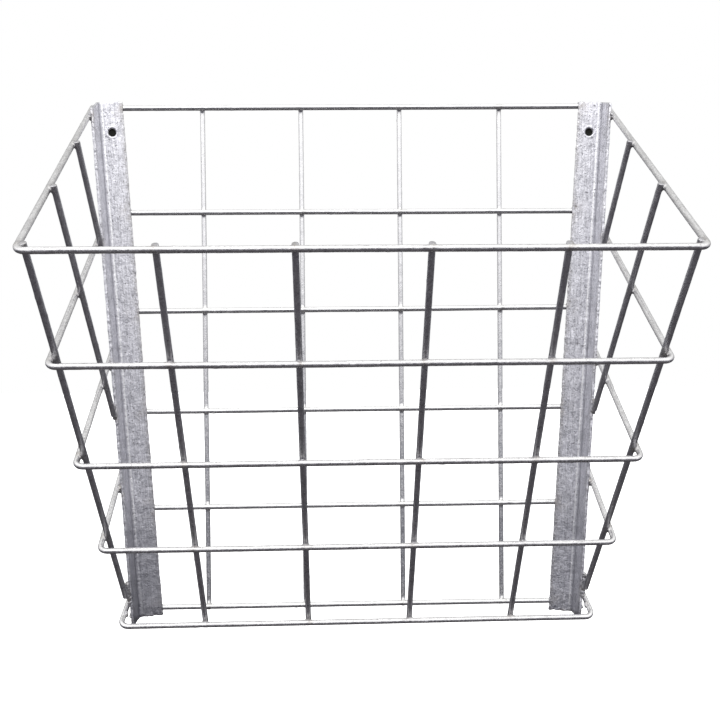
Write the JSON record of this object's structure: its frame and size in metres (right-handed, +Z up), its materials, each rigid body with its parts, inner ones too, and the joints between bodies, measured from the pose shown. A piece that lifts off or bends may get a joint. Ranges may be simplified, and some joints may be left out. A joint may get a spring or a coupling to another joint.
{
  "type": "wire mesh container",
  "caption": "Wall-hung open basket of welded galvanised wire: a flat back mesh between two angle uprights, with U-shaped hoops that slope out to a wide open top.",
  "frame": {"origin": "midway between the two fixing holes, on the back face of the uprights' wall flanges", "axes": "+X to the right seen from the room, +Y into the wall, +Z up; the basket opens upwards and stands out towards -Y"},
  "size_m": [0.521, 0.2752, 0.5206],
  "materials": {
    "galvanised_wire": "hot-dip galvanised round wire, bright on top, with small runs and nodules of zinc",
    "galvanised_angle": "hot-dip galvanised rolled angle, fine mottled spangle with streaks along its length",
    "galvanised_weld": "weld beads under zinc, rounded and glossy"
  },
  "bodies": {
    "root": {"back_crosswire_1": "galvanised_wire", "back_crosswire_2": "galvanised_wire", "back_crosswire_3": "galvanised_wire", "back_crosswire_4": "galvanised_wire", "back_crosswire_5": "galvanised_wire", "back_crosswire_6": "galvanised_wire", "back_vertical_wire_1": "galvanised_wire", "back_vertical_wire_2": "galvanised_wire", "back_vertical_wire_3": "galvanised_wire", "back_vertical_wire_4": "galvanised_wire", "front_wire_1": "galvanised_wire", "front_wire_2": "galvanised_wire", "front_wire_3": "galvanised_wire", "front_wire_4": "galvanised_wire", "hoop_1": "galvanised_wire", "hoop_2": "galvanised_wire", "hoop_3": "galvanised_wire", "hoop_4": "galvanised_wire", "hoop_5": "galvanised_wire", "left_back_welds": "galvanised_weld", "left_corner_wire": "galvanised_wire", "left_front_side_wire": "galvanised_wire", "left_rear_side_wire": "galvanised_wire", "left_side_welds": "galvanised_weld", "left_upright": "galvanised_angle", "right_back_welds": "galvanised_weld", "right_corner_wire": "galvanised_wire", "right_front_side_wire": "galvanised_wire", "right_rear_side_wire": "galvanised_wire", "right_side_welds": "galvanised_weld", "right_upright": "galvanised_angle"}
  },
  "joints": []
}
